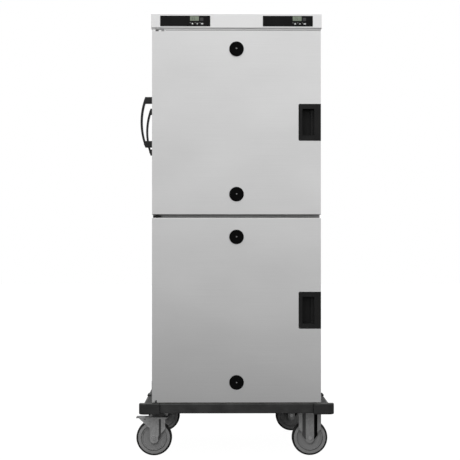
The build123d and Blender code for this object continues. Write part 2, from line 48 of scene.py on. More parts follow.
squareOn = 0.9          # a face whose normal reaches this along an axis looks that way
sameLevel = 1e-6
smoothAngle = math.radians(32)


def leaveEdit():
    bpy.ops.object.mode_set(mode="OBJECT")


def clearSelection():
    if bpy.context.object and bpy.context.object.mode != "OBJECT":
        leaveEdit()
    bpy.ops.object.select_all(action="DESELECT")


def looksFront(face):
    return face.normal.y < -squareOn


def looksBack(face):
    return face.normal.y > squareOn


def looksDown(face):
    return face.normal.z < -squareOn


def looksUp(face):
    return face.normal.z > squareOn


def inFront(a, b):
    return a.y < 0 and b.y < 0


def runsThrough(depth):
    # picks the edges that run from the front of a thin piece to its back
    return lambda a, b: abs(a.y - b.y) > depth


def middleOf(low, high):
    return tuple((start + end) / 2 for start, end in zip(low, high))


def workOn(piece):
    clearSelection()
    piece.select_set(True)
    bpy.context.view_layer.objects.active = piece


def pickFaces(piece, wanted):
    workOn(piece)
    bpy.context.tool_settings.mesh_select_mode = (False, False, True)
    mesh = piece.data
    for group in (mesh.vertices, mesh.edges):
        group.foreach_set("select", [False] * len(group))
    mesh.polygons.foreach_set("select", [bool(wanted(face)) for face in mesh.polygons])
    bpy.ops.object.mode_set(mode="EDIT")


def pickEdges(piece, wanted):
    workOn(piece)
    bpy.context.tool_settings.mesh_select_mode = (False, True, False)
    mesh = piece.data
    for group in (mesh.vertices, mesh.polygons):
        group.foreach_set("select", [False] * len(group))
    ends = [[mesh.vertices[corner].co for corner in edge.vertices] for edge in mesh.edges]
    mesh.edges.foreach_set("select", [bool(wanted(a, b)) for a, b in ends])
    bpy.ops.object.mode_set(mode="EDIT")


def applyAll(piece):
    workOn(piece)
    for modifier in list(piece.modifiers):
        bpy.ops.object.modifier_apply(modifier=modifier.name)
    bpy.ops.object.transform_apply(location=True, rotation=True, scale=True)


def addBlock(width, depth, height, place=(0, 0, 0)):
    clearSelection()
    bpy.ops.mesh.primitive_cube_add(size=1, location=place)
    piece = bpy.context.object
    piece.scale = (width, depth, height)
    applyAll(piece)
    return piece


def addDisc(radius, depth, sides, place=(0, 0, 0)):
    # lies in the door's plane: its far cap looks to the front
    clearSelection()
    bpy.ops.mesh.primitive_cylinder_add(
        vertices=sides, radius=radius, depth=depth, location=place, rotation=(math.pi / 2, 0, 0))
    piece = bpy.context.object
    applyAll(piece)
    return piece


def roundEdges(piece, width, segments, wanted=lambda a, b: True):
    pickEdges(piece, wanted)
    bpy.ops.mesh.bevel(offset=width, segments=segments, affect="EDGES")
    leaveEdit()


def cutAway(piece, cutter):
    cut = piece.modifiers.new("cut", "BOOLEAN")
    cut.operation = "DIFFERENCE"
    cut.solver = "EXACT"
    cut.object = cutter
    applyAll(piece)
    bpy.data.objects.remove(cutter)


def joinPieces(pieces):
    clearSelection()
    for piece in pieces:
        piece.select_set(True)
    bpy.context.view_layer.objects.active = pieces[0]
    bpy.ops.object.join()
    return bpy.context.object


def placeCopy(model, place, turn=(0, 0, 0)):
    workOn(model)
    bpy.ops.object.duplicate(linked=False)
    twin = bpy.context.object
    twin.location = place
    twin.rotation_euler = turn
    applyAll(twin)
    return twin


def dressPiece(piece, name, look, body):
    workOn(piece)
    bpy.ops.object.shade_smooth_by_angle(angle=smoothAngle)
    piece.name = name
    piece.data.name = name
    piece.data.materials.clear()
    piece.data.materials.append(look)
    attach(piece, body)


def dressNode(name, look):
    cadNode = cadNodes[name]
    if not cadNode.material_slots:
        cadNode.data.materials.append(look)
    for slot in cadNode.material_slots:
        slot.material = look


# Steps that every finish is mixed from

even = (1, 1, 1)


def grey(level):
    return (level,) * 3


def newLook(name, metallic, roughness, specular):
    look = bpy.data.materials.new(name)
    look.use_nodes = True
    tree = look.node_tree
    shader = tree.nodes["Principled BSDF"]
    shader.inputs["Metallic"].default_value = metallic
    shader.inputs["Roughness"].default_value = roughness
    shader.inputs["Specular IOR Level"].default_value = specular
    return look, tree, shader


def pattern(tree, stretch, scale, detail):
    place = tree.nodes.new("ShaderNodeTexCoord")
    mapping = tree.nodes.new("ShaderNodeMapping")
    noise = tree.nodes.new("ShaderNodeTexNoise")
    mapping.inputs["Scale"].default_value = stretch
    noise.inputs["Scale"].default_value = scale
    noise.inputs["Detail"].default_value = detail
    tree.links.new(place.outputs["Object"], mapping.inputs["Vector"])
    tree.links.new(mapping.outputs["Vector"], noise.inputs["Vector"])
    return noise.outputs["Fac"]


def facing(tree, axis):
    # how far the surface looks along one axis of the piece, either way
    place = tree.nodes.new("ShaderNodeTexCoord")
    split = tree.nodes.new("ShaderNodeSeparateXYZ")
    size = tree.nodes.new("ShaderNodeMath")
    size.operation = "ABSOLUTE"
    tree.links.new(place.outputs["Normal"], split.inputs["Vector"])
    tree.links.new(split.outputs[axis], size.inputs[0])
    return size.outputs["Value"]


def spread(tree, value, low, high, start=0.3, end=0.7):
    remap = tree.nodes.new("ShaderNodeMapRange")
    for socket, number in zip(("From Min", "From Max", "To Min", "To Max"), (start, end, low, high)):
        remap.inputs[socket].default_value = number
    tree.links.new(value, remap.inputs["Value"])
    return remap.outputs["Result"]


def tint(tree, value, first, second, start=0.3, end=0.7):
    ramp = tree.nodes.new("ShaderNodeValToRGB")
    for stop, place, colour in zip(ramp.color_ramp.elements, (start, end), (first, second)):
        stop.position = place
        stop.color = (*colour, 1)
    tree.links.new(value, ramp.inputs["Fac"])
    return ramp.outputs["Color"]


def blendColours(tree, amount, below, above):
    mix = tree.nodes.new("ShaderNodeMix")
    mix.data_type = "RGBA"
    sockets = [socket for socket in mix.inputs if socket.type == "RGBA"]
    tree.links.new(amount, mix.inputs["Factor"])
    tree.links.new(below, sockets[0])
    tree.links.new(above, sockets[1])
    return next(socket for socket in mix.outputs if socket.type == "RGBA")


def relief(tree, shader, height, strength, distance):
    bump = tree.nodes.new("ShaderNodeBump")
    bump.inputs["Strength"].default_value = strength
    bump.inputs["Distance"].default_value = distance
    tree.links.new(height, bump.inputs["Height"])
    tree.links.new(bump.outputs["Normal"], shader.inputs["Normal"])


def brushedSteel(name, stretch, dark, light, smooth, rough):
    # fine brush lines run along the axis with the small stretch; soft clouds are wiping marks
    wipe = {"stretch": (1.0, 1.0, 1.6), "scale": 2.6, "detail": 3.0, "fade": 0.94}
    look, tree, shader = newLook(name, 1.0, rough, 0.5)
    lines = pattern(tree, stretch, 1.0, 4.0)
    clouds = pattern(tree, wipe["stretch"], wipe["scale"], wipe["detail"])
    clean = tint(tree, lines, grey(dark), grey(light))
    wiped = tint(tree, lines, grey(dark * wipe["fade"]), grey(light * wipe["fade"]))
    tree.links.new(blendColours(tree, spread(tree, clouds, 0.0, 1.0), clean, wiped), shader.inputs["Base Color"])
    tree.links.new(spread(tree, clouds, smooth, rough), shader.inputs["Roughness"])
    relief(tree, shader, lines, 0.02, 0.0003)
    return look


def mouldedPlastic(name, dark, light, rough, specular, grain=900, depth=0.12):
    # spark-eroded mould grain with faint polishing from hands
    polish, pitDepth = 0.08, 0.0006
    look, tree, shader = newLook(name, 0.0, rough, specular)
    clouds = pattern(tree, even, 14.0, 4.0)
    pits = pattern(tree, even, grain, 2.0)
    tree.links.new(tint(tree, clouds, dark, light), shader.inputs["Base Color"])
    tree.links.new(spread(tree, clouds, rough - polish, rough + polish), shader.inputs["Roughness"])
    relief(tree, shader, pits, depth, pitDepth)
    return look


def dustyRubber(name, dark, light, dust, rough, specular):
    # matt rubber that greys where dust settles on its upper faces
    settle = {"most": 0.8, "start": 0.6, "end": 1.0}
    scuff = {"stretch": (3, 3, 40), "rubbed": 0.12, "dulled": 0.06}
    look, tree, shader = newLook(name, 0.0, rough, specular)
    clouds = pattern(tree, even, 22.0, 5.0)
    scuffs = pattern(tree, scuff["stretch"], 6.0, 5.0)
    skin = tint(tree, clouds, dark, light)
    dusty = spread(tree, facing(tree, "Z"), 0.0, settle["most"], settle["start"], settle["end"])
    worn = blendColours(tree, dusty, skin, tint(tree, clouds, light, dust))
    tree.links.new(worn, shader.inputs["Base Color"])
    tree.links.new(spread(tree, scuffs, rough - scuff["rubbed"], rough + scuff["dulled"]), shader.inputs["Roughness"])
    relief(tree, shader, pattern(tree, even, 420.0, 3.0), 0.15, 0.0008)
    return look


def wheelRubber(name, side, shadedTread, rough):
    # grey side wall that turns dark where it rounds into the tread; the dark on the rounded shoulder is painted shade
    wearAndShade = {"wall": 0.9, "crown": 1.6, "turn": (0.975, 0.999), "rubbed": 0.06, "dulled": 0.1}
    look, tree, shader = newLook(name, 0.0, rough, 0.12)
    clouds = pattern(tree, even, 35.0, 5.0)
    wall = tint(tree, clouds, tuple(c * wearAndShade["wall"] for c in side), side)
    crown = tint(tree, clouds, shadedTread, tuple(c * wearAndShade["crown"] for c in shadedTread))
    sideways = spread(tree, facing(tree, "Y"), 0.0, 1.0, *wearAndShade["turn"])
    tree.links.new(blendColours(tree, sideways, crown, wall), shader.inputs["Base Color"])
    tree.links.new(spread(tree, clouds, rough - wearAndShade["rubbed"], rough + wearAndShade["dulled"]), shader.inputs["Roughness"])
    relief(tree, shader, pattern(tree, even, 600.0, 3.0), 0.15, 0.0006)
    return look


def dullZinc(name, dark, light, metallic, rough):
    # zinc spangle: flat crystal patches of slightly different grey
    spangle, patchy = 160.0, 0.1
    look, tree, shader = newLook(name, metallic, rough, 0.4)
    place = tree.nodes.new("ShaderNodeTexCoord")
    crystals = tree.nodes.new("ShaderNodeTexVoronoi")
    crystals.inputs["Scale"].default_value = spangle
    tree.links.new(place.outputs["Object"], crystals.inputs["Vector"])
    clouds = pattern(tree, even, 18.0, 4.0)
    patches = tint(tree, crystals.outputs["Color"], dark, light, patchy, 1 - patchy)
    tree.links.new(patches, shader.inputs["Base Color"])
    tree.links.new(spread(tree, clouds, rough - patchy, rough + patchy), shader.inputs["Roughness"])
    relief(tree, shader, pattern(tree, even, 500.0, 2.0), 0.08, 0.0005)
    return look


def sheenSpeckLacquer(name, dark, sheenGrey, edge):
    # black lacquer with pale specks above a given height, on the bracket above the doors: the specks are painted
    # sheen
    fade = 0.1
    look, tree, shader = newLook(name, 0.0, 0.45, 0.3)
    place = tree.nodes.new("ShaderNodeTexCoord")
    split = tree.nodes.new("ShaderNodeSeparateXYZ")
    tree.links.new(place.outputs["Object"], split.inputs["Vector"])
    whole = tint(tree, pattern(tree, even, 14.0, 4.0), dark, tuple(c * 2 for c in dark))
    sheenSpecks = tint(tree, pattern(tree, even, 190.0, 3.0), tuple(c * 8 for c in dark), sheenGrey)
    rubbed = spread(tree, split.outputs["Z"], 0.0, 1.0, edge, edge + fade)
    tree.links.new(blendColours(tree, rubbed, whole, sheenSpecks), shader.inputs["Base Color"])
    relief(tree, shader, pattern(tree, even, 500.0, 2.0), 0.12, 0.0006)
    return look


# Finishes, named for what they cover
doorSteel = brushedSteel("doorSteel", (4, 700, 700), 0.79, 0.82, 0.285, 0.315)
casingSteel = brushedSteel("casingSteel", (520, 520, 5), 0.66, 0.74, 0.34, 0.42)
# a darker copy of the casing steel: painted shade, for the frame seen in the seam between the doors and the line
# along the upper door's top edge
shadedFrameSteel = brushedSteel("shadedFrameSteel", (520, 520, 5), 0.34, 0.40, 0.40, 0.48)
capSteel = brushedSteel("capSteel", (4, 700, 700), 0.85, 0.88, 0.30, 0.35)
chamberSteel = brushedSteel("chamberSteel", (520, 6, 520), 0.60, 0.70, 0.30, 0.37)
forkZinc = dullZinc("forkZinc", grey(0.325), grey(0.405), 0.45, 0.48)
# a darker copy of the fork zinc: painted shade on the fixed forks
shadedForkZinc = dullZinc("shadedForkZinc", grey(0.26), grey(0.32), 0.45, 0.48)
# near-black grey: painted shade for the swivel heads under the base
shadedHeadZinc = dullZinc("shadedHeadZinc", grey(0.03), grey(0.06), 0.4, 0.5)
axleZinc = dullZinc("axleZinc", grey(0.42), grey(0.52), 0.9, 0.40)
chassisPaint = mouldedPlastic("chassisPaint", grey(0.060), grey(0.080), 0.75, 0.06, 500)
screwSteel = brushedSteel("screwSteel", (900, 900, 60), 0.22, 0.32, 0.34, 0.44)
# the pale specks on the upper bracket are painted sheen
hingeBlack = sheenSpeckLacquer("hingeBlack", grey(0.006), grey(0.34), 1.5)
hingeCover = mouldedPlastic("hingeCover", grey(0.055), grey(0.075), 0.5, 0.3, 500)
# pale grey that, shaded by the cap, draws the shade line under it
shadeLinePaint = mouldedPlastic("shadeLinePaint", grey(0.60), grey(0.64), 0.6, 0.2, 500)
# mid grey on black hinge parts: painted sheen
hingeSheenGrey = mouldedPlastic("hingeSheenGrey", grey(0.24), grey(0.30), 0.5, 0.2, 500)
# dark grey: painted shade, standing in for the wheel in shadow seen through a slot
slotShadeGrey = mouldedPlastic("slotShadeGrey", grey(0.068), grey(0.082), 0.5, 0.1, 500)
pedalGrey = mouldedPlastic("pedalGrey", grey(0.13), grey(0.17), 0.5, 0.35, 500)
bumperRubber = dustyRubber("bumperRubber", grey(0.017), grey(0.028), (0.12, 0.12, 0.115), 0.62, 0.25)
cornerRubber = dustyRubber("cornerRubber", grey(0.015), grey(0.023), (0.10, 0.10, 0.095), 0.6, 0.18)
sealRubber = dustyRubber("sealRubber", grey(0.010), grey(0.018), grey(0.03), 0.55, 0.35)
handlePlastic = mouldedPlastic("handlePlastic", grey(0.007), grey(0.013), 0.42, 0.35)
latchPlastic = mouldedPlastic("latchPlastic", grey(0.006), grey(0.010), 0.5, 0.16)
leverPlastic = mouldedPlastic("leverPlastic", grey(0.0085), grey(0.0135), 0.42, 0.18, 700)
ventPlastic = mouldedPlastic("ventPlastic", grey(0.0018), grey(0.0034), 0.5, 0.03)
inletPlastic = mouldedPlastic("inletPlastic", grey(0.008), grey(0.014), 0.45, 0.35, 1200)
tyreGrey = wheelRubber("tyreGrey", grey(0.275), grey(0.016), 0.6)
# dark rubber grey used as painted shade on the tyre sides
shadeRingRubber = mouldedPlastic("shadeRingRubber", grey(0.018), grey(0.030), 0.6, 0.12, 600)
hubGrey = mouldedPlastic("hubGrey", grey(0.22), grey(0.26), 0.5, 0.3, 700)
panelFilm = mouldedPlastic("panelFilm", grey(0.0035), grey(0.006), 0.37, 0.09, 1600, 0.05)
keyFilm = mouldedPlastic("keyFilm", grey(0.006), grey(0.010), 0.4, 0.12, 1600, 0.05)
markInk = mouldedPlastic("markInk", (0.74, 0.75, 0.75), (0.84, 0.85, 0.85), 0.5, 0.2, 1600, 0.05)
faintInk = mouldedPlastic("faintInk", (0.44, 0.445, 0.445), (0.52, 0.525, 0.525), 0.5, 0.2, 1600, 0.05)
lampInk = mouldedPlastic("lampInk", grey(0.115), grey(0.145), 0.5, 0.15, 1600, 0.05)
dimInk = mouldedPlastic("dimInk", grey(0.035), grey(0.05), 0.5, 0.15, 1600, 0.05)
displayGlass = mouldedPlastic("displayGlass", (0.145, 0.172, 0.132), (0.19, 0.22, 0.175), 0.37, 0.2, 1600, 0.02)
digitInk = mouldedPlastic("digitInk", (0.035, 0.042, 0.036), (0.05, 0.06, 0.052), 0.4, 0.3, 1600, 0.05)
woolBatt = mouldedPlastic("woolBatt", (0.42, 0.36, 0.20), (0.60, 0.54, 0.34), 0.9, 0.1, 260, 0.6)
heaterMat = mouldedPlastic("heaterMat", (0.30, 0.05, 0.03), (0.40, 0.08, 0.05), 0.55, 0.3, 300, 0.2)
boardGreen = mouldedPlastic("boardGreen", (0.012, 0.08, 0.03), (0.02, 0.12, 0.05), 0.4, 0.4, 900, 0.1)
print("finishes mixed:", len(bpy.data.materials))

# Every CAD piece that keeps its shape
finishOf = {
    doorSteel: ["upper_door_skin", "lower_door_skin"],
    shadedFrameSteel: ["front_frame"],
    casingSteel: ["outer_casing", "rear_cover", "upper_door_liner", "lower_door_liner"],
    capSteel: ["control_cap"],
    chamberSteel: ["upper_liner", "lower_liner", "upper_tray_racks", "lower_tray_racks"],
    forkZinc: ["front_left_fork", "rear_left_fork"],
    shadedForkZinc: ["fixed_forks"],
    axleZinc: ["front_left_axle", "rear_left_axle", "fixed_axles"],
    shadedHeadZinc: ["swivel_heads"],
    chassisPaint: ["base_chassis"],
    hingeBlack: ["hinge_brackets", "latch_keepers"],
    pedalGrey: ["front_left_brake_pedal", "rear_left_brake_pedal"],
    bumperRubber: ["bumper_strips", "side_buffers"],
    cornerRubber: ["corner_bumpers"],
    sealRubber: ["upper_door_gasket", "lower_door_gasket"],
    handlePlastic: ["front_push_handle", "rear_push_handle"],
    latchPlastic: ["upper_latch_housing", "lower_latch_housing"],
    leverPlastic: ["upper_latch_lever", "lower_latch_lever"],
    ventPlastic: ["upper_top_vent", "upper_bottom_vent", "lower_top_vent", "lower_bottom_vent"],
    inletPlastic: ["power_inlet"],
    tyreGrey: [f"{end}_{side}_tyre" for end in ("front", "rear") for side in ("left", "right")],
    hubGrey: [f"{end}_{side}_hub" for end in ("front", "rear") for side in ("left", "right")],
    panelFilm: ["left_control_panel", "right_control_panel"],
    keyFilm: [f"{side}_{key}_key" for side in ("left", "right") for key in ("first", "second", "third")],
    displayGlass: ["display_windows"],
    woolBatt: ["insulation"],
    heaterMat: ["heater_mats"],
    boardGreen: ["control_boards"],
}
dressed = 0
for look, names in finishOf.items():
    for name in names:
        dressNode(name, look)
        dressed += 1
print("CAD pieces dressed:", dressed)

# Pan-head screw with a crossed slot, modelled at the origin and looking to the front
screw = {"radius": 0.0031, "head": 0.0016, "dome": 0.0006, "steps": ((0.22, 0.65), (0.30, 0.35)),
         "slotLength": 0.0038, "slotWidth": 0.0007, "slotDepth": 0.0010}


def modelScrew():
    head = addDisc(screw["radius"], screw["head"], 32)
    pickFaces(head, looksFront)
    for inward, upward in screw["steps"]:
        bpy.ops.mesh.inset(thickness=screw["radius"] * inward, depth=screw["dome"] * upward)
    leaveEdit()
    top = -screw["head"] / 2 - screw["dome"]
    for width, height in ((screw["slotLength"], screw["slotWidth"]), (screw["slotWidth"], screw["slotLength"])):
        cutAway(head, addBlock(width, screw["slotDepth"] * 2, height, (0, top, 0)))
    return head


screwModel = modelScrew()

# Rotary vents: finger ribs, a raised ring and the screw in the middle
vent = {"ringRadius": 0.0255, "ringWidth": 0.0018, "rise": 0.0007, "ribInner": 0.0105, "ribOuter": 0.0215,
        "ribWidth": 0.0026, "ribs": 9, "narrow": 0.45, "round": 0.5, "screwSeat": 0.0015}


def modelVentFace():
    ring = addDisc(vent["ringRadius"], vent["rise"] * 2, 72)
    pickFaces(ring, lambda face: looksFront(face) or looksBack(face))
    bpy.ops.mesh.inset(thickness=vent["ringWidth"], depth=0)
    bpy.ops.mesh.bridge_edge_loops()                     # opens the middle through both caps
    leaveEdit()
    roundEdges(ring, vent["rise"] * vent["round"], 2,
               lambda a, b: abs(a.y - b.y) < sameLevel and a.y < 0 and abs(a.length - b.length) < sameLevel)
    rib = addBlock(vent["ribWidth"], vent["rise"] * 2, vent["ribOuter"] - vent["ribInner"],
                   (0, 0, (vent["ribOuter"] + vent["ribInner"]) / 2))
    pickFaces(rib, looksDown)
    bpy.ops.transform.resize(value=(vent["narrow"], 1, 1))         # each rib narrows toward the screw
    leaveEdit()
    roundEdges(rib, vent["rise"] * vent["round"], 2, inFront)
    pickFaces(rib, lambda face: True)
    bpy.ops.mesh.spin(steps=vent["ribs"] - 1, dupli=True, angle=2 * math.pi * (vent["ribs"] - 1) / vent["ribs"],
                      center=(0, 0, 0), axis=(0, 1, 0))
    leaveEdit()
    return joinPieces([ring, rib])


ventModel = modelVentFace()
for door in ("upper", "lower"):
    for end in ("top", "bottom"):
        low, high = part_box(f"{door}_{end}_vent")
        x, y, z = middleOf(low, high)
        name, knob = f"{door}{end.capitalize()}Vent", f"{door}_{end}_vent_knob"
        dressPiece(placeCopy(ventModel, (x, low.y, z)), name + "Ribs", ventPlastic, knob)
        seat = (x, low.y + vent["screwSeat"] - screw["head"] / 2, z)
        dressPiece(placeCopy(screwModel, seat), name + "Screw", screwSteel, knob)
bpy.data.objects.remove(ventModel)
print("vent faces placed")

# Door seal: a hollow-lipped rubber ring that stands for the plain CAD ring
seal = {"width": 0.016, "lip": 0.0045, "groove": 0.0022, "round": 0.0018, "foot": 0.001}
for door in ("upper", "lower"):
    low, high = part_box(f"{door}_door_gasket")
    clearSelection()
    x, y, z = middleOf(low, high)
    bpy.ops.mesh.primitive_plane_add(size=1, location=(x, low.y, z), rotation=(math.pi / 2, 0, 0))
    ring = bpy.context.object
    ring.scale = (high.x - low.x, high.z - low.z, 1)
    applyAll(ring)
    pickFaces(ring, lambda face: True)
    bpy.ops.mesh.inset(thickness=seal["width"], depth=0)
    bpy.ops.mesh.delete(type="FACE")
    leaveEdit()
    wall = ring.modifiers.new("wall", "SOLIDIFY")
    wall.thickness = high.y - low.y
    wall.offset = -1
    applyAll(ring)
    pickFaces(ring, looksBack)
    bpy.ops.mesh.inset(thickness=seal["lip"], depth=-seal["groove"])
    leaveEdit()
    foot = low.y + seal["foot"]
    roundEdges(ring, seal["round"], 3, lambda a, b: abs(a.y - b.y) < sameLevel and min(a.y, b.y) > foot)
    dressPiece(ring, f"{door}DoorSeal", sealRubber, f"{door}_door")
    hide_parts(f"{door}_door_gasket")
print("door seals made")

# Stamped field on the inner face of each door
stamp = {"halfWidth": 0.24, "fromTop": 0.125, "fromBottom": 0.129, "rise": 0.004, "draft": 0.006, "land": 0.03,
         "sink": 0.6, "round": 0.0016, "foot": 0.0005}
for door in ("upper", "lower"):
    low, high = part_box(f"{door}_door_liner")
    bottom, top = low.z + stamp["fromBottom"], high.z - stamp["fromTop"]
    field = addBlock(2 * stamp["halfWidth"], stamp["rise"], top - bottom,
                     (0, high.y + stamp["rise"] / 2, (top + bottom) / 2))
    pickFaces(field, looksBack)
    bpy.ops.transform.resize(
        value=(1 - stamp["draft"] / stamp["halfWidth"], 1, 1 - 2 * stamp["draft"] / (top - bottom)))
    bpy.ops.mesh.inset(thickness=stamp["land"], depth=0)
    bpy.ops.mesh.inset(thickness=stamp["draft"], depth=-stamp["rise"] * stamp["sink"])
    leaveEdit()
    roundEdges(field, stamp["round"], 3, lambda a, b: min(a.y, b.y) > high.y + stamp["foot"])
    dressPiece(field, f"{door}DoorStamp", casingSteel, f"{door}_door")
print("door stampings made")

# Finger ribs on the release levers
leverRib = {"width": 0.0085, "height": 0.0022, "rise": 0.0009, "ribs": 9, "pitch": 0.010, "fromEdge": 0.0060,
            "taper": (0.86, 1, 0.55), "round": 0.4, "paddle": 0.0025}


def modelLeverRib():
    rib = addBlock(leverRib["width"], leverRib["rise"] * 2, leverRib["height"])
    pickFaces(rib, looksFront)
    bpy.ops.transform.resize(value=leverRib["taper"])
    leaveEdit()
    roundEdges(rib, leverRib["rise"] * leverRib["round"], 2, inFront)
    return rib


ribModel = modelLeverRib()
for door in ("upper", "lower"):
    low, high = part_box(f"{door}_latch_lever")
    x, y, z = middleOf(low, high)
    ribs = []
    for count in range(leverRib["ribs"]):
        rise = (count - (leverRib["ribs"] - 1) / 2) * leverRib["pitch"]
        ribs.append(placeCopy(ribModel, (low.x + leverRib["fromEdge"], y - leverRib["paddle"], z + rise)))
    dressPiece(joinPieces(ribs), f"{door}LeverRibs", leverPlastic, f"{door}_lever")
bpy.data.objects.remove(ribModel)
print("lever ribs placed")

# Marks on the keys: up, down and a pill, each a thin raised print
keyMark = {"rise": 0.0002, "arrow": 0.0042, "arrowRound": 0.18, "pillWidth": 0.0104, "pillHeight": 0.0052,
           "pillLine": 0.0013, "pillRound": 0.48, "step": 0.0002, "sink": 0.9}


def modelArrow(turn):
    clearSelection()
    bpy.ops.mesh.primitive_cylinder_add(
        vertices=3, radius=keyMark["arrow"], depth=keyMark["rise"] * 2, rotation=(math.pi / 2, 0, 0))
    arrow = bpy.context.object
    applyAll(arrow)
    roundEdges(arrow, keyMark["arrow"] * keyMark["arrowRound"], 3, runsThrough(keyMark["rise"]))
    tip = max(arrow.data.vertices, key=lambda vertex: vertex.co.length).co
    arrow.rotation_euler = (0, turn - math.atan2(tip.x, tip.z), 0)
    applyAll(arrow)
    return arrow


def modelPill():
    pill = addBlock(keyMark["pillWidth"], keyMark["rise"] * 2, keyMark["pillHeight"])
    roundEdges(pill, keyMark["pillHeight"] * keyMark["pillRound"], 6, runsThrough(keyMark["rise"]))
    pickFaces(pill, looksFront)
    bpy.ops.mesh.inset(thickness=keyMark["pillLine"], depth=0)
    bpy.ops.mesh.inset(thickness=keyMark["step"], depth=-keyMark["rise"] * keyMark["sink"])
    leaveEdit()
    return pill


marks = {"first": modelArrow(0), "second": modelArrow(math.pi), "third": modelPill()}
for side in ("left", "right"):
    for key, model in marks.items():
        low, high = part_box(f"{side}_{key}_key")
        x, y, z = middleOf(low, high)
        ink = markInk if key == "first" else faintInk
        dressPiece(placeCopy(model, (x, low.y, z)), f"{side}{key.capitalize()}Mark", ink, f"{side}_{key}_button")
for model in marks.values():
    bpy.data.objects.remove(model)
print("key marks printed")

# Signal lamps beside the keys and the lamp window beside each display
lamp = {"radius": 0.0021, "rise": 0.0009, "left": 0.0089, "up": 0.0042, "steps": ((0.25, 0.35), (0.35, 0.15)),
        "window": 0.0135, "windowRight": 0.0300, "windowDrop": 0.0030, "windowRise": 0.0003, "windowRound": 0.0022,
        "frame": 0.0012, "step": 0.0002, "sink": 0.6, "displayWidth": 0.0365}


def modelLamp():
    dome = addDisc(lamp["radius"], lamp["rise"], 24)
    pickFaces(dome, looksFront)
    for inward, upward in lamp["steps"]:
        bpy.ops.mesh.inset(thickness=lamp["radius"] * inward, depth=lamp["rise"] * upward)
    leaveEdit()
    return dome


def modelLampWindow():
    pane = addBlock(lamp["window"], lamp["windowRise"] * 2, lamp["window"])
    roundEdges(pane, lamp["windowRound"], 4, runsThrough(lamp["windowRise"]))
    pickFaces(pane, looksFront)
    bpy.ops.mesh.inset(thickness=lamp["frame"], depth=0)
    bpy.ops.mesh.inset(thickness=lamp["step"], depth=-lamp["windowRise"] * lamp["sink"])
    leaveEdit()
    return pane


lampModel, paneModel = modelLamp(), modelLampWindow()
displayLow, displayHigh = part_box("display_windows")
displayHeight = (displayLow.z + displayHigh.z) / 2
displayMiddle = {"left": displayLow.x + lamp["displayWidth"] / 2, "right": displayHigh.x - lamp["displayWidth"] / 2}
for side in ("left", "right"):
    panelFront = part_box(f"{side}_control_panel")[0].y
    lamps = []
    for key in ("first", "second", "third"):
        x, y, z = middleOf(*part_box(f"{side}_{key}_key"))
        lamps.append(placeCopy(lampModel, (x - lamp["left"], panelFront, z + lamp["up"])))
    dressPiece(joinPieces(lamps), f"{side}KeyLamps", lampInk, "cabinet")
    pane = placeCopy(paneModel, (displayMiddle[side] + lamp["windowRight"], panelFront,
                                 displayHeight - lamp["windowDrop"]))
    dressPiece(pane, f"{side}LampWindow", dimInk, "cabinet")
for model in (lampModel, paneModel):
    bpy.data.objects.remove(model)
print("panel lamps placed")

# Two numerals on each display, from seven bars each
digit = {"bar": 0.0044, "line": 0.0014, "gap": 0.4, "round": 0.42, "rise": 0.00012, "pitch": 0.0085, "left": 0.0045,
         "reading": {"left": "65", "right": "75"}}
barsOf = {"5": "afgcd", "6": "afgecd", "7": "abc"}


def modelBar():
    bar = addBlock(digit["bar"] - digit["line"] * digit["gap"], digit["rise"] * 2, digit["line"])
    roundEdges(bar, digit["line"] * digit["round"], 1, runsThrough(digit["rise"]))
    return bar


barModel = modelBar()
half, whole = digit["bar"] / 2, digit["bar"]
barPlaces = {"a": (0, whole, 0), "g": (0, 0, 0), "d": (0, -whole, 0),
             "f": (-half, half, 1), "b": (half, half, 1), "e": (-half, -half, 1), "c": (half, -half, 1)}
for side in ("left", "right"):
    bars = []
    for count, numeral in enumerate(digit["reading"][side]):
        centre = displayMiddle[side] + (count - 0.5) * digit["pitch"] - digit["left"]
        for letter in barsOf[numeral]:
            across, up, upright = barPlaces[letter]
            bars.append(placeCopy(barModel, (centre + across, displayLow.y, displayHeight + up),
                                  (0, math.pi / 2 * upright, 0)))
    dressPiece(joinPieces(bars), f"{side}Reading", digitInk, "cabinet")
bpy.data.objects.remove(barModel)
print("display numerals set")

# Painted shade: a dark band beside the tread and a fine dark ring on both sides of each tyre, for the shade at the
# tyre's shoulder and at the step round the hub
wheelShadeRing = {"rise": 0.00015, "sides": 96, "band": (0.0055, 0.0028), "fine": (0.0215, 0.0007)}
for end in ("front", "rear"):
    for side in ("left", "right"):
        low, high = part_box(f"{end}_{side}_tyre")
        radius, width = (high.z - low.z) / 2, high.y - low.y + 2 * wheelShadeRing["rise"]
        rings = []
        for inward, line in (wheelShadeRing["band"], wheelShadeRing["fine"]):
            ring = addDisc(radius - inward, width, wheelShadeRing["sides"], middleOf(low, high))
            pickFaces(ring, lambda face: looksFront(face) or looksBack(face))
            bpy.ops.mesh.inset(thickness=line, depth=0)
            bpy.ops.mesh.bridge_edge_loops()
            leaveEdit()
            rings.append(ring)
        dressPiece(joinPieces(rings), f"{end}{side.capitalize()}WheelShadeRings", shadeRingRubber, f"{end}_{side}_wheel")
print("wheel rings placed")

# Hexagon bolts with washers under the caster plates
casterBolt = {"size": 0.0065, "head": 0.0048, "crown": (0.12, 0.07), "washer": 0.0086, "washerDepth": 0.0013,
              "washerRound": 0.0003, "underside": -0.001,
              "swivelX": {"front": -0.325, "rear": -0.316}, "swivelSpan": (0.031, 0.043), "swivelPlate": 0.184,
              "fixedX": {"front": 0.310, "rear": 0.276}, "fixedSpan": (0.041, 0.042), "fixedPlate": 0.186,
              "endY": {"front": -0.33, "rear": 0.33}}


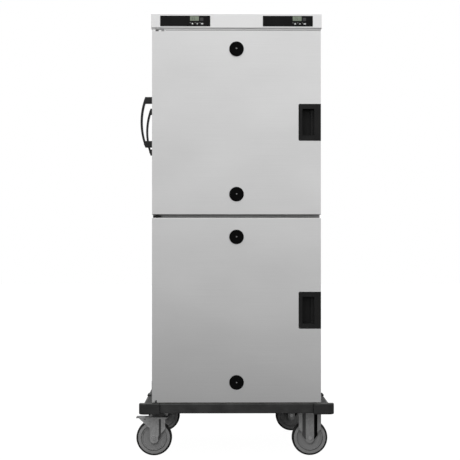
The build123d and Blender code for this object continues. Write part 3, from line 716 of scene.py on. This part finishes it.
def modelBolt():
    clearSelection()
    bpy.ops.mesh.primitive_cylinder_add(vertices=6, radius=casterBolt["size"], depth=casterBolt["head"],
                                        location=(0, 0, -casterBolt["washerDepth"] - casterBolt["head"] / 2))
    head = bpy.context.object
    applyAll(head)
    pickFaces(head, looksDown)
    inward, outward = casterBolt["crown"]
    bpy.ops.mesh.inset(thickness=casterBolt["size"] * inward, depth=casterBolt["size"] * outward)
    leaveEdit()
    clearSelection()
    bpy.ops.mesh.primitive_cylinder_add(vertices=36, radius=casterBolt["washer"], depth=casterBolt["washerDepth"],
                                        location=(0, 0, -casterBolt["washerDepth"] / 2))
    washer = bpy.context.object
    applyAll(washer)
    roundEdges(washer, casterBolt["washerRound"], 2, lambda a, b: max(a.z, b.z) < casterBolt["underside"])
    return joinPieces([head, washer])


boltModel = modelBolt()
for end in ("front", "rear"):
    for side in ("left", "right"):
        kind = "swivel" if side == "left" else "fixed"
        x, plate = casterBolt[kind + "X"][end], casterBolt[kind + "Plate"]
        spanX, spanY = casterBolt[kind + "Span"]
        bolts = [placeCopy(boltModel, (x + a * spanX, casterBolt["endY"][end] + b * spanY, plate))
                 for a in (-1, 1) for b in (-1, 1)]
        dressPiece(joinPieces(bolts), f"{end}{side.capitalize()}PlateBolts", axleZinc, "cabinet")
bpy.data.objects.remove(boltModel)
print("caster bolts placed")

# Painted shade: dark strips behind the slots in the fork legs, cut off slantwise like the legs, for the shade seen
# through the slots
slotShade = {"depth": 0.0008, "back": 0.0220, "slant": 0.020, "low": 0.066, "head": 0.01, "round": 0.0002,
             "swivel": {"near": 0.0195, "far": 0.0305, "top": 0.1545},
             "fixed": {"near": 0.0165, "far": 0.0325, "top": 0.183}}


def modelSlotShade(kind, side):
    near, far, top = slotShade[kind].values()
    middle = (near + far) / 2
    strip = addBlock(far - near, slotShade["depth"], top - slotShade["low"],
                     (side * middle, slotShade["depth"] / 2, (top + slotShade["low"]) / 2))
    pickEdges(strip, lambda a, b: min(abs(a.x), abs(b.x)) > middle and max(a.z, b.z) < top - slotShade["head"])
    bpy.ops.transform.translate(value=(0, 0, slotShade["slant"]))
    leaveEdit()
    roundEdges(strip, slotShade["round"], 1)
    return strip


for end in ("front", "rear"):
    legFace = casterBolt["endY"][end] - slotShade["back"]
    for wheel, kind, side, place, look, body in (
            ("left", "swivel", 1, "Left", slotShadeGrey, f"{end}_left_caster"),
            ("right", "fixed", -1, "RightInner", slotShadeGrey, "cabinet"),
            ("right", "fixed", 1, "RightOuter", ventPlastic, "cabinet")):
        strip = modelSlotShade(kind, side)
        strip.location = (middleOf(*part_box(f"{end}_{wheel}_tyre"))[0], legFace, 0)
        applyAll(strip)
        dressPiece(strip, f"{end}{place}SlotShade", look, body)
print("slot strips placed")

# Painted shade line under the control cap: a pale strip set back in the cap's shadow, with a grey lower half over the
# hinge as painted sheen
capShadeStrip = {"capHeight": 0.061, "setback": 0.006, "depth": 0.0026, "drop": 0.0006, "seat": 0.0002,
            "hinge": (0.0145, 0.050), "split": 0.0036, "right": 0.0005, "round": 0.0003}
capLow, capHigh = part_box("control_cap")
doorLow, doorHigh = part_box("upper_door_skin")
stripLow, stripHigh = capLow.z - capShadeStrip["drop"], capHigh.z - capShadeStrip["capHeight"] + capShadeStrip["seat"]
hingeStart, hingeEnd = (doorLow.x + reach for reach in capShadeStrip["hinge"])


def modelCapShadeStrip(start, end, low, high):
    y = capLow.y + capShadeStrip["setback"] + capShadeStrip["depth"] / 2
    strip = addBlock(end - start, capShadeStrip["depth"], high - low, ((start + end) / 2, y, (low + high) / 2))
    roundEdges(strip, capShadeStrip["round"], 1)
    return strip


capShadeStrips = [modelCapShadeStrip(doorLow.x, hingeStart, stripLow, stripHigh),
             modelCapShadeStrip(hingeStart, hingeEnd, stripLow + capShadeStrip["split"], stripHigh),
             modelCapShadeStrip(hingeEnd, doorHigh.x - capShadeStrip["right"], stripLow, stripHigh)]
dressPiece(joinPieces(capShadeStrips), "capShadeLine", shadeLinePaint, "cabinet")
hingeSheenPiece = modelCapShadeStrip(hingeStart, hingeEnd, stripLow, stripLow + capShadeStrip["split"])
dressPiece(hingeSheenPiece, "hingeSheenStrip", hingeSheenGrey, "cabinet")
print("cap strip placed")

# Covers over the hinge pins, at the outer hinge corner of each door, and a grey block beside the upper one as painted
# sheen on the hinge leaf
hingeCap = {"rise": 0.0018, "seat": 0.0004, "round": 0.0008}
for name, door, look, left, right, bottom, top in (
        ("upperHingeCover", "upper_door", hingeCover, 0.0146, 0.0275, -0.0052, -0.0004),
        ("upperHingeSheen", "upper_door", hingeSheenGrey, 0.0384, 0.0509, -0.0052, -0.0004),
        ("lowerHingeCover", "lower_door", hingeCover, 0.0120, 0.0210, 0.0004, 0.0105)):
    low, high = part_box(f"{door}_skin")
    edge = high.z if door == "upper_door" else low.z
    cover = addBlock(right - left, hingeCap["rise"] + hingeCap["seat"], top - bottom,
                     (low.x + (left + right) / 2, low.y + (hingeCap["seat"] - hingeCap["rise"]) / 2,
                      edge + (bottom + top) / 2))
    roundEdges(cover, hingeCap["round"], 2, lambda a, b: max(a.y, b.y) < low.y)
    dressPiece(cover, name, look, door)
print("hinge covers placed")

# Painted shade along the upper door's top edge, beside the hinge covers: a thin strip of the darker steel
capEdgeShade = {"top": -0.0006, "bottom": -0.0022, "rise": 0.0003, "seat": 0.0004, "round": 0.0001,
       "left": 0.056, "right": 0.001}
low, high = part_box("upper_door_skin")
shadeStart, shadeEnd = low.x + capEdgeShade["left"], high.x - capEdgeShade["right"]
doorEdgeShade = addBlock(shadeEnd - shadeStart, capEdgeShade["rise"] + capEdgeShade["seat"], capEdgeShade["top"] - capEdgeShade["bottom"],
                   ((shadeStart + shadeEnd) / 2, low.y + (capEdgeShade["seat"] - capEdgeShade["rise"]) / 2,
                    high.z + (capEdgeShade["top"] + capEdgeShade["bottom"]) / 2))
roundEdges(doorEdgeShade, capEdgeShade["round"], 1)
dressPiece(doorEdgeShade, "upperDoorEdgeShade", shadedFrameSteel, "upper_door")
print("door hem placed")

# Painted shadow: thin black sheets at the joints between the bumper strips and the corner bumpers
jointShadow = {"width": 0.002, "rise": 0.0005, "seat": 0.001, "inset": 0.002, "round": 0.0002,
         "cornerLength": 0.086, "cornerSide": 0.036}
stripLow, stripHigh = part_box("bumper_strips")
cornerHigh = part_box("corner_bumpers")[1]
shadowHeight = stripHigh.z - stripLow.z - 2 * jointShadow["inset"]
shadowDepth = jointShadow["rise"] + jointShadow["seat"]
shadowMiddle = (stripLow.z + stripHigh.z) / 2
jointShadows = []
for across in (-1, 1):
    for along in (-1, 1):
        x = across * (cornerHigh.x - jointShadow["cornerLength"] - jointShadow["width"] / 2)
        y = along * (stripHigh.y + jointShadow["rise"] - shadowDepth / 2)
        jointShadows.append(addBlock(jointShadow["width"], shadowDepth, shadowHeight, (x, y, shadowMiddle)))
        x = across * (stripHigh.x + jointShadow["rise"] - shadowDepth / 2)
        y = along * (cornerHigh.y - jointShadow["cornerSide"] - jointShadow["width"] / 2)
        jointShadows.append(addBlock(shadowDepth, jointShadow["width"], shadowHeight, (x, y, shadowMiddle)))
for piece in jointShadows:
    roundEdges(piece, jointShadow["round"], 1)
dressPiece(joinPieces(jointShadows), "bumperJointShadows", ventPlastic, "cabinet")
print("bumper joints placed")

# Grip ribs on the brake pedals
pedalRib = {"length": 0.040, "width": 0.0022, "rise": 0.0008, "taper": (0.5, 0.96, 1), "round": 0.3,
            "places": (0.004, 0.0085, 0.013)}


def modelPedalRib():
    rib = addBlock(pedalRib["width"], pedalRib["length"], pedalRib["rise"] * 2)
    pickFaces(rib, looksUp)
    bpy.ops.transform.resize(value=pedalRib["taper"])
    leaveEdit()
    roundEdges(rib, pedalRib["rise"] * pedalRib["round"], 2, lambda a, b: min(a.z, b.z) > 0)
    return rib


pedalModel = modelPedalRib()
for end in ("front", "rear"):
    low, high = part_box(f"{end}_left_brake_pedal")
    ribs = [placeCopy(pedalModel, (low.x + place, (low.y + high.y) / 2, high.z)) for place in pedalRib["places"]]
    dressPiece(joinPieces(ribs), f"{end}PedalRibs", pedalGrey, f"{end}_left_pedal")
bpy.data.objects.remove(pedalModel)
print("pedal ribs placed")

# Screws that hold the rear cover, the inlet and the push handles
fixing = {"coverInset": 0.012, "coverRows": 7, "coverColumns": 3, "inletSpan": 0.0255, "headOut": 0.0008,
          "handleRise": 0.0945, "handleArc": 0.3016, "handleReach": 0.0152}
low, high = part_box("rear_cover")
spots = []
inset, lastRow, lastColumn = fixing["coverInset"], fixing["coverRows"] - 1, fixing["coverColumns"] - 1
for row in range(lastRow + 1):
    z = low.z + inset + (high.z - low.z - 2 * inset) * row / lastRow
    for column in range(lastColumn + 1):
        if 0 < column < lastColumn and 0 < row < lastRow:
            continue
        x = low.x + inset + (high.x - low.x - 2 * inset) * column / lastColumn
        spots.append((x, high.y + fixing["headOut"], z))
coverScrews = [placeCopy(screwModel, spot, (0, 0, math.pi)) for spot in spots]
dressPiece(joinPieces(coverScrews), "rearCoverScrews", screwSteel, "cabinet")
low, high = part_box("power_inlet")
x, y, z = middleOf(low, high)
inletScrews = [placeCopy(screwModel, (x + side * fixing["inletSpan"], high.y + fixing["headOut"], z), (0, 0, math.pi))
               for side in (-1, 1)]
dressPiece(joinPieces(inletScrews), "inletScrews", screwSteel, "cabinet")
lean = math.asin(fixing["handleRise"] / fixing["handleArc"])
for end in ("front", "rear"):
    low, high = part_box(f"{end}_push_handle")
    x, y, z = middleOf(low, high)
    handleScrews = []
    for up in (-1, 1):
        spot = (low.x + fixing["handleReach"], y, z + up * fixing["handleRise"])
        handleScrews.append(placeCopy(screwModel, spot, (0, up * lean, -math.pi / 2)))
    dressPiece(joinPieces(handleScrews), f"{end}HandleScrews", screwSteel, "cabinet")
bpy.data.objects.remove(screwModel)
print("screws placed")

# Floor: pale paper before the cart and shade under it; the steel mirrors the studio rather than the floor
stage = {"size": 60.0, "shade": grey(0.05), "paper": grey(0.62), "edge": (-0.62, -0.46), "lift": 0.98}
clearSelection()
bpy.ops.mesh.primitive_plane_add(size=stage["size"])
floor = bpy.context.object
floor.name = "paleFloor"
floorLook, tree, shader = newLook("paleFloor", 0.0, 0.9, 0.1)
coords = tree.nodes.new("ShaderNodeTexCoord")
split = tree.nodes.new("ShaderNodeSeparateXYZ")
tree.links.new(coords.outputs["Object"], split.inputs["Vector"])
nearness = spread(tree, split.outputs["Y"], 0.0, 1.0, *stage["edge"])
tree.links.new(tint(tree, nearness, stage["paper"], stage["shade"], 0.0, 1.0), shader.inputs["Base Color"])
shader.inputs["Emission Color"].default_value = (1, 1, 1, 1)
path = tree.nodes.new("ShaderNodeLightPath")
glow = spread(tree, path.outputs["Is Camera Ray"], 0.0, stage["lift"], 0.0, 1.0)
tree.links.new(glow, shader.inputs["Emission Strength"])
floor.data.materials.append(floorLook)
floor.visible_glossy = False

# Studio: bright above, dimmer toward the floor and for matt faces, a little brighter from the right where it is
# mirrored, and a white backdrop for the camera
studio = {"heights": (0.0, 0.40, 0.44, 0.47, 0.50, 0.53, 0.60, 0.75, 1.0),
          "levels": (0.12, 0.12, 0.16, 0.72, 0.85, 0.73, 0.88, 0.84, 0.62),
          "matt": (0.02, 0.02, 0.03, 0.05, 0.08, 0.12, 0.55, 1.00, 0.62), "reach": 0.3, "slope": 0.15}
world = bpy.data.worlds.new("studio")
bpy.context.scene.world = world
world.use_nodes = True
tree = world.node_tree
backdrop = tree.nodes["Background"]
backdrop.inputs["Color"].default_value = (1, 1, 1, 1)
coords = tree.nodes.new("ShaderNodeTexCoord")
split = tree.nodes.new("ShaderNodeSeparateXYZ")
tree.links.new(coords.outputs["Generated"], split.inputs["Vector"])
height = spread(tree, split.outputs["Z"], 0.0, 1.0, -1.0, 1.0)
tones = []
for levels in (studio["levels"], studio["matt"]):
    ramp = tree.nodes.new("ShaderNodeValToRGB")
    while len(ramp.color_ramp.elements) < len(levels):
        ramp.color_ramp.elements.new(0.5)
    for stop, position, level in zip(ramp.color_ramp.elements, studio["heights"], levels):
        stop.position = position
        stop.color = (*grey(level), 1)
    tree.links.new(height, ramp.inputs["Fac"])
    tones.append(ramp.outputs["Color"])
path = tree.nodes.new("ShaderNodeLightPath")
softbox = tree.nodes.new("ShaderNodeBackground")
tree.links.new(blendColours(tree, path.outputs["Is Diffuse Ray"], *tones), softbox.inputs["Color"])
sideways = spread(tree, split.outputs["X"], 1 - studio["slope"], 1 + studio["slope"],
                  -studio["reach"], studio["reach"])
evened = tree.nodes.new("ShaderNodeMix")
evened.inputs["B"].default_value = 1.0
tree.links.new(path.outputs["Is Diffuse Ray"], evened.inputs["Factor"])
tree.links.new(sideways, evened.inputs["A"])
tree.links.new(evened.outputs["Result"], softbox.inputs["Strength"])
choose = tree.nodes.new("ShaderNodeMixShader")
tree.links.new(path.outputs["Is Camera Ray"], choose.inputs["Fac"])
tree.links.new(softbox.outputs["Background"], choose.inputs[1])
tree.links.new(backdrop.outputs["Background"], choose.inputs[2])
tree.links.new(choose.outputs["Shader"], tree.nodes["World Output"].inputs["Surface"])

# One wide soft light from above, and a weaker one from the front left that reaches the casters below the base
overhead = {"place": (-0.8, -1.6, 4.6), "aim": (20, -8, 0), "size": 4.0, "power": 120, "mirrored": True}
fill = {"place": (-1.5, -4.2, 2.5), "aim": (58, 0, -20), "size": 1.2, "power": 42, "mirrored": False}
for name, light in (("overheadLight", overhead), ("fillLight", fill)):
    clearSelection()
    bpy.ops.object.light_add(type="AREA", location=light["place"],
                             rotation=[math.radians(angle) for angle in light["aim"]])
    softLight = bpy.context.object
    softLight.name = name
    softLight.data.size = light["size"]
    softLight.data.energy = light["power"]
    softLight.visible_glossy = light["mirrored"]

# Camera at the photograph's place
view = {"place": (-0.0716, -4.921, 0.827), "tilt": 0.324, "yaw": -0.568, "lens": 84.89, "sensor": 36, "rise": 0.05}
clearSelection()
bpy.ops.object.camera_add(location=view["place"],
                          rotation=(math.radians(90 + view["tilt"]), 0, math.radians(view["yaw"])))
camera = bpy.context.object
camera.name = "photoCamera"
camera.data.lens = view["lens"]
camera.data.sensor_width = view["sensor"]
camera.data.shift_y = view["rise"]
bpy.context.scene.camera = camera
bpy.context.scene.view_settings.view_transform = "Standard"
bpy.context.scene.view_settings.look = "None"
print("stage, light and camera set")
